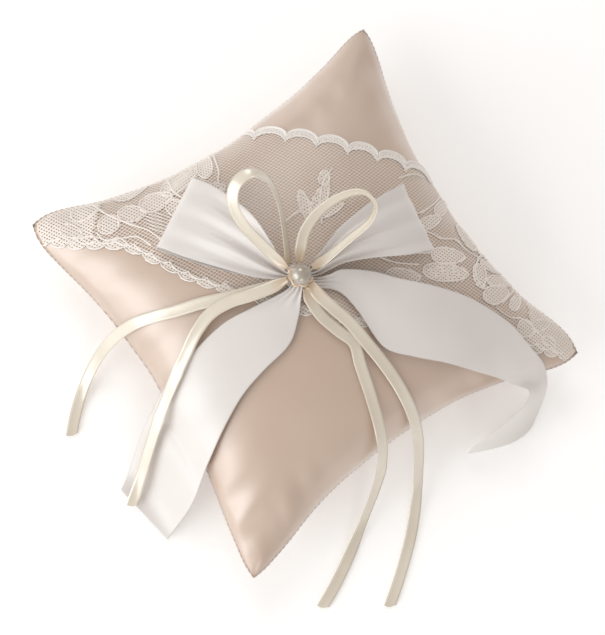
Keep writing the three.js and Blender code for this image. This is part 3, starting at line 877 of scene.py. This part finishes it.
narrowRibbon = {
    "width": 0.006, "rootWidth": 0.5, "rootReach": 0.011, "thickness": 0.00024, "stepsPerPoint": 10, "stepsAcross": 5, "cup": 0.00035,
    "loops": {
        "left": [(-15.9, 3.4, 74.6), (-18.6, 8.6, 79.6), (-22.5, 16.5, 88), (-28, 26, 98), (-35, 33, 104.5),
                 (-43, 34, 106), (-48.5, 28, 103.5), (-48, 20.5, 98), (-42, 14, 91.5), (-31, 8, 83.5),
                 (-22, 3.4, 77.8), (-16.7, 0.9, 75.1)],
        "right": [(-11.5, 5.4, 75), (-12.5, 10.5, 79.5), (-12.5, 19, 86), (-8, 28, 93), (0, 35, 99),
                  (8.5, 38, 101), (15, 34, 99.5), (14.5, 27, 95), (8, 19, 88), (2, 11.5, 82), (-2.5, 6.6, 77.6),
                  (-5.6, 4.4, 75.4)],
    },
    "ring_ribbon_outer_left": [
        (-15.4, -3.5, 73.4), (-22, -8, 72.4), (-31, -12.5, 70.4), (-42, -17.5, 66.2), (-53, -22, 61.8),
        (-63, -27, 57.2), (-72, -31, 52.6), (-81, -35.5, 46.2), (-89, -41, 34), (-95, -48, 23),
        (-99.5, -56, 12), (-102.5, -65, 4.4), (-104, -75, 1.8), (-104.5, -86, 1.2), (-104, -96, 1.2)],
    "ring_ribbon_inner_left": [
        (-15.2, -3.4, 74.5), (-22, -9, 74), (-31, -14.6, 72.2), (-40, -19.5, 69), (-47.5, -26.5, 66),
        (-52, -36, 62.8), (-54.5, -46, 59), (-57, -57, 54), (-59.5, -69, 43.4), (-61.5, -82, 34.2),
        (-63, -95, 23.6), (-64, -107, 13.4), (-65, -117, 6.6), (-66, -125, 3.4)],
    "ring_ribbon_inner_right": [
        (-6.2, -5.6, 73.4), (-2.2, -10.8, 72.2), (4.4, -16.6, 70.2), (14, -21.5, 68.4), (22.5, -25.5, 67),
        (28, -35, 64), (36, -47, 59), (44, -60, 52.8), (50, -71, 43.4), (53.5, -82, 31.4),
        (54.5, -94, 19), (54, -107, 8), (52.5, -120, 2.6), (49.5, -134, 1.2), (46, -146, 1.2), (42, -157, 1.2)],
    "ring_ribbon_outer_right": [
        (-4.3, -2.6, 74.2), (0.4, -7.6, 75), (8, -12, 74), (18, -17, 71.2), (28, -24, 68),
        (38, -31, 63.6), (48, -39, 58.4), (57, -47.5, 51.2), (65, -56.5, 40.6), (71, -65.5, 28),
        (75.5, -76, 16.4), (79, -87, 7.4), (81, -99, 2.4), (81.5, -112, 1.2), (80.5, -125, 1.2),
        (79, -138, 1.2), (77, -150, 1.2)],
}


def ribbonStrip(name, points, widthWay, slant=0.0, bothEnds=False):
    # a narrow ribbon along a path; widthWay(spot, along, share) gives the direction of its width
    spots = [Vector(point) * mm for point in points]
    steps = narrowRibbon["stepsPerPoint"] * (len(spots) - 1)
    length = sum((curvePoint(spots, (i + 1) / steps) - curvePoint(spots, i / steps)).length for i in range(steps))
    width = narrowRibbon["width"]

    def place(u, v):
        side = v - 0.5
        share = clamp(u - slant * side * width / length * smoothStep((u - 0.9) * 10))
        spot = curvePoint(spots, share)
        along = curveTangent(spots, share)
        across = widthWay(spot, along, share)
        normal = across.cross(along).normalized()
        fromRoot = (min(share, 1 - share) if bothEnds else share) * length
        pinch = mix(narrowRibbon["rootWidth"], 1, smoothStep(fromRoot / narrowRibbon["rootReach"]))
        cup = narrowRibbon["cup"] * (1 + 2 * (1 - pinch)) * (1 - 4 * side * side)
        return spot + across * side * width * pinch + normal * cup

    bm = bmesh.new()
    sheetMesh(bm, steps, narrowRibbon["stepsAcross"], place, (length, width))
    piece = newPiece(name, bm, narrowSatin)
    thick = piece.modifiers.new("thickness", "SOLIDIFY")
    thick.thickness = narrowRibbon["thickness"]
    thick.offset = 0
    path = [curvePoint(spots, i / steps) for i in range(steps + 1)]
    return piece, path, length


def acrossFrom(normal, along):
    return (normal - along * normal.dot(along)).cross(along).normalized()


def makeRingRibbons():
    bodies = {"ring_ribbon_outer_left": "outer_left_ribbon", "ring_ribbon_inner_left": "inner_left_ribbon",
              "ring_ribbon_inner_right": "inner_right_ribbon", "ring_ribbon_outer_right": "outer_right_ribbon"}
    names = {"ring_ribbon_outer_left": "ringRibbonOuterLeft", "ring_ribbon_inner_left": "ringRibbonInnerLeft",
             "ring_ribbon_inner_right": "ringRibbonInnerRight", "ring_ribbon_outer_right": "ringRibbonOuterRight"}
    for node, body in bodies.items():
        points = narrowRibbon[node]
        piece, path, length = ribbonStrip(
            names[node], points, lambda spot, along, share: acrossFrom(restNormal(spot.x, spot.y), along), 1.0)
        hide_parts(node)
        tuple(path[0])
        [tuple(spot) for spot in path]
        tuple(path[0])
        curvePoint([tuple(spot) for spot in path], 0.16)
        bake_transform(piece)


def makeStandingLoops():
    for side, points in narrowRibbon["loops"].items():
        start, top = Vector(points[0]), Vector(points[len(points) // 2])
        reach = (top - start).normalized()
        sideways = Vector((0, 0, 1)).cross(reach).normalized()
        outOfPlane = reach.cross(sideways).normalized()

        def widthWay(spot, along, share, outOfPlane=outOfPlane):
            # the ribbon leaves the knot nearly flat and turns edge-on towards the top of its loop
            twist = math.radians(mix(62, 34, math.sin(math.pi * share)))
            way = outOfPlane * math.cos(twist) + outOfPlane.cross(along) * math.sin(twist)
            return (way - along * way.dot(along)).normalized()

        piece, path, length = ribbonStrip("ringRibbon" + side.capitalize() + "Loop", points, widthWay, 0.0, True)
        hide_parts("ring_ribbon_" + side + "_loop")
        tuple(path[0])
        [tuple(spot) for spot in path]
        root = start.lerp(Vector(points[-1]), 0.5)
        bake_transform(piece)


makeRingRibbons()
makeStandingLoops()
print("narrow ribbons laid")

# Gathered middle of the bow, its thread, the narrow ribbon's knot, the pearl and its thread (mm)

middle = {
    "centre": (-10, -1), "gatherHeight": 69.9, "gatherHalf": (7.4, 5.8, 1.9), "gatherPleats": 9, "gatherDepth": 0.1,
    "windings": (-0.55, 0.0, 0.55), "windingRadius": 0.24,
    "knotHeight": 73.3, "knotHalf": (6.2, 5.0, 1.5), "knotPleats": 7, "knotDepth": 0.09,
    "pearlHeight": 79.7, "pearlRadius": 5.0, "threadRadius": 0.22, "threadOut": 5.9,
}


def makeGather():
    bm = bmesh.new()
    bmesh.ops.create_uvsphere(bm, u_segments=72, v_segments=28, radius=1.0)
    bmesh.ops.rotate(bm, verts=bm.verts, matrix=Matrix.Rotation(math.pi / 2, 3, "Y"))
    half = middle["gatherHalf"]
    for v in bm.verts:
        around = math.atan2(v.co.z, v.co.y)
        pinch = 0.72 + 0.28 * smoothStep(abs(v.co.x) * 2.2)
        ripple = (1 + middle["gatherDepth"] * math.cos(middle["gatherPleats"] * around + v.co.x)) * pinch
        v.co = Vector((v.co.x * half[0] * (1 + 0.08 * math.cos(5 * around)), v.co.y * half[1] * ripple,
                       v.co.z * half[2] * ripple))
    bmesh.ops.scale(bm, vec=(mm, mm, mm), verts=bm.verts)
    bmesh.ops.translate(bm, verts=bm.verts, vec=Vector((*middle["centre"], middle["gatherHeight"])) * mm)
    piece = newPiece("bowGather", bm, wideSatin)
    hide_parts("bow_gather")
    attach(piece, "cushion")


def addTube(bm, points, radius, rings, sides=8):
    # a round thread along points in mm, closed at both ends
    first = curvePoint(points, 0)
    along = curveTangent(points, 0)
    turn = along.to_track_quat("Z", "Y").to_matrix().to_4x4()
    made = bmesh.ops.create_circle(bm, cap_ends=True, segments=sides, radius=radius,
                                   matrix=Matrix.Translation(first) @ turn)
    faces = list({face for v in made["verts"] for face in v.link_faces})
    frameTurn = turn.to_3x3()
    for ring in range(1, rings + 1):
        extruded = bmesh.ops.extrude_face_region(bm, geom=faces)
        newVerts = [item for item in extruded["geom"] if isinstance(item, bmesh.types.BMVert)]
        newFaces = [item for item in extruded["geom"] if isinstance(item, bmesh.types.BMFace)]
        if ring > 1:
            bmesh.ops.delete(bm, geom=faces, context="FACES_ONLY")
        here, ahead = curvePoint(points, (ring - 1) / rings), curvePoint(points, ring / rings)
        nextAlong = curveTangent(points, ring / rings)
        swing = (frameTurn @ Vector((0, 0, 1))).rotation_difference(nextAlong).to_matrix()
        for v in newVerts:
            v.co = ahead + swing @ (v.co - here)
        frameTurn = swing @ frameTurn
        faces = newFaces
    bmesh.ops.recalc_face_normals(bm, faces=bm.faces)


def makeGatherThread():
    bm = bmesh.new()
    half = middle["gatherHalf"]
    for offset in middle["windings"]:
        ring = [(middle["centre"][0] + offset, middle["centre"][1] + math.sin(a) * half[1] * 0.82,
                 middle["gatherHeight"] + math.cos(a) * (half[2] * 0.82 + 0.1))
                for a in [2 * math.pi * i / 20 for i in range(21)]]
        addTube(bm, ring, middle["windingRadius"], 40, 6)
    bmesh.ops.scale(bm, vec=(mm, mm, mm), verts=bm.verts)
    piece = newPiece("gatherThread", bm, sewingThread)
    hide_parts("gather_thread")
    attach(piece, "cushion")


def makeKnot():
    bm = bmesh.new()
    bmesh.ops.create_uvsphere(bm, u_segments=64, v_segments=24, radius=1.0)
    half = middle["knotHalf"]
    for v in bm.verts:
        around = math.atan2(v.co.y, v.co.x)
        outward = 1 - v.co.z * v.co.z
        ripple = 1 + middle["knotDepth"] * math.cos(middle["knotPleats"] * around + 2 * v.co.z) * outward
        fold = 0.18 * math.sin(3 * around + 1) * outward
        v.co = Vector((v.co.x * half[0] * ripple, v.co.y * half[1] * ripple, (v.co.z + fold) * half[2]))
    bmesh.ops.scale(bm, vec=(mm, mm, mm), verts=bm.verts)
    bmesh.ops.translate(bm, verts=bm.verts, vec=Vector((*middle["centre"], middle["knotHeight"])) * mm)
    piece = newPiece("ringRibbonKnot", bm, narrowSatin)
    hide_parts("ring_ribbon_knot")
    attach(piece, "cushion")


def pearlMaterial():
    material, nodes, links, shader = startMaterial("pearlLustre")
    coords = nodes.new("ShaderNodeTexCoord")
    clouds = addNoise(nodes, links, coords.outputs["Object"], 160.0, 2.0)
    links.new(addRamp(nodes, links, clouds, [(0.3, (0.36, 0.31, 0.25)), (0.7, (0.50, 0.46, 0.40))]),
              shader.inputs["Base Color"])
    rough = nodes.new("ShaderNodeMapRange")
    links.new(clouds, rough.inputs["Value"])
    rough.inputs["To Min"].default_value = 0.2
    rough.inputs["To Max"].default_value = 0.32
    links.new(rough.outputs["Result"], shader.inputs["Roughness"])
    links.new(addBump(nodes, links, clouds, 0.05, 0.0002), shader.inputs["Normal"])
    shader.inputs["Coat Weight"].default_value = 0.8
    shader.inputs["Coat Roughness"].default_value = 0.06
    shader.inputs["Specular IOR Level"].default_value = 0.75
    shader.inputs["Metallic"].default_value = 0.25
    return material


def makePearl():
    bm = bmesh.new()
    bmesh.ops.create_uvsphere(bm, u_segments=48, v_segments=26, radius=middle["pearlRadius"] * mm)
    poles = [v for v in bm.verts if math.hypot(v.co.x, v.co.y) < 1e-7]
    bmesh.ops.delete(bm, geom=poles, context="VERTS")
    rims = [edge for edge in bm.edges if edge.is_boundary]
    bmesh.ops.bridge_loops(bm, edges=rims)
    bmesh.ops.rotate(bm, verts=bm.verts, matrix=Matrix.Rotation(math.pi / 2, 3, "Y"))
    bmesh.ops.translate(bm, verts=bm.verts, vec=Vector((*middle["centre"], middle["pearlHeight"])) * mm)
    bmesh.ops.recalc_face_normals(bm, faces=bm.faces)
    piece = newPiece("pearlBead", bm, pearlMaterial())
    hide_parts("pearl_bead")
    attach(piece, "pearl")
    x, y = middle["centre"]
    z, out = middle["pearlHeight"], middle["threadOut"]
    route = [(-out, -4.8), (-out, -2), (-out + 0.2, -0.5), (-out + 1.2, 0), (0, 0)]
    route += [(-along, height) for along, height in reversed(route[:-1])]
    thread = bmesh.new()
    addTube(thread, [(x + along, y, z + height) for along, height in route], middle["threadRadius"], 36)
    bmesh.ops.scale(thread, vec=(mm, mm, mm), verts=thread.verts)
    threadPiece = newPiece("beadThread", thread, sewingThread)
    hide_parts("bead_thread")
    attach(threadPiece, "cushion")


makeGather()
makeGatherThread()
makeKnot()
makePearl()
print("knot tied and pearl sewn on")

stage = {
    "floorHalf": 3.0, "floorColour": (0.95, 0.95, 0.95), "floorGlow": 0.19,
    "world": 0.6, "worldColour": (1.0, 0.955, 0.915),
    "lights": [
        ("keyLight", (-1.6, -1.1, 0.7), 2.0, 28.0, (0.95, 0.985, 1.0)),
        ("frontLight", (0.35, -1.5, 0.65), 0.5, 2.6, (1.0, 0.99, 0.97)),
        ("backLight", (-0.7, 1.2, 1.4), 0.9, 7.0, (0.97, 0.99, 1.0)),
    ],
}


def makeStage():
    bm = bmesh.new()
    bmesh.ops.create_grid(bm, x_segments=1, y_segments=1, size=stage["floorHalf"])
    bmesh.ops.translate(bm, verts=bm.verts, vec=(0, 0, -0.0006))
    material, nodes, links, shader = startMaterial("paleFloor")
    shader.inputs["Base Color"].default_value = (*stage["floorColour"], 1)
    shader.inputs["Roughness"].default_value = 0.9
    shader.inputs["Emission Color"].default_value = (1, 1, 1, 1)
    shader.inputs["Emission Strength"].default_value = stage["floorGlow"]
    newPiece("paleFloor", bm, material, smooth=False)
    for name, place, size, power, colour in stage["lights"]:
        data = bpy.data.lights.new(name, "AREA")
        data.shape = "DISK"
        data.size = size
        data.energy = power
        data.color = colour
        light = bpy.data.objects.new(name, data)
        light.location = place
        light.rotation_euler = (Vector((0, 0, 0.03)) - Vector(place)).to_track_quat("-Z", "Y").to_euler()
        bpy.context.scene.collection.objects.link(light)
    world = bpy.data.worlds.new("paleRoom")
    bpy.context.scene.world = world
    world.use_nodes = True
    background = world.node_tree.nodes["Background"]
    background.inputs["Color"].default_value = (*stage["worldColour"], 1)
    background.inputs["Strength"].default_value = stage["world"]


makeStage()

print("scene ready")
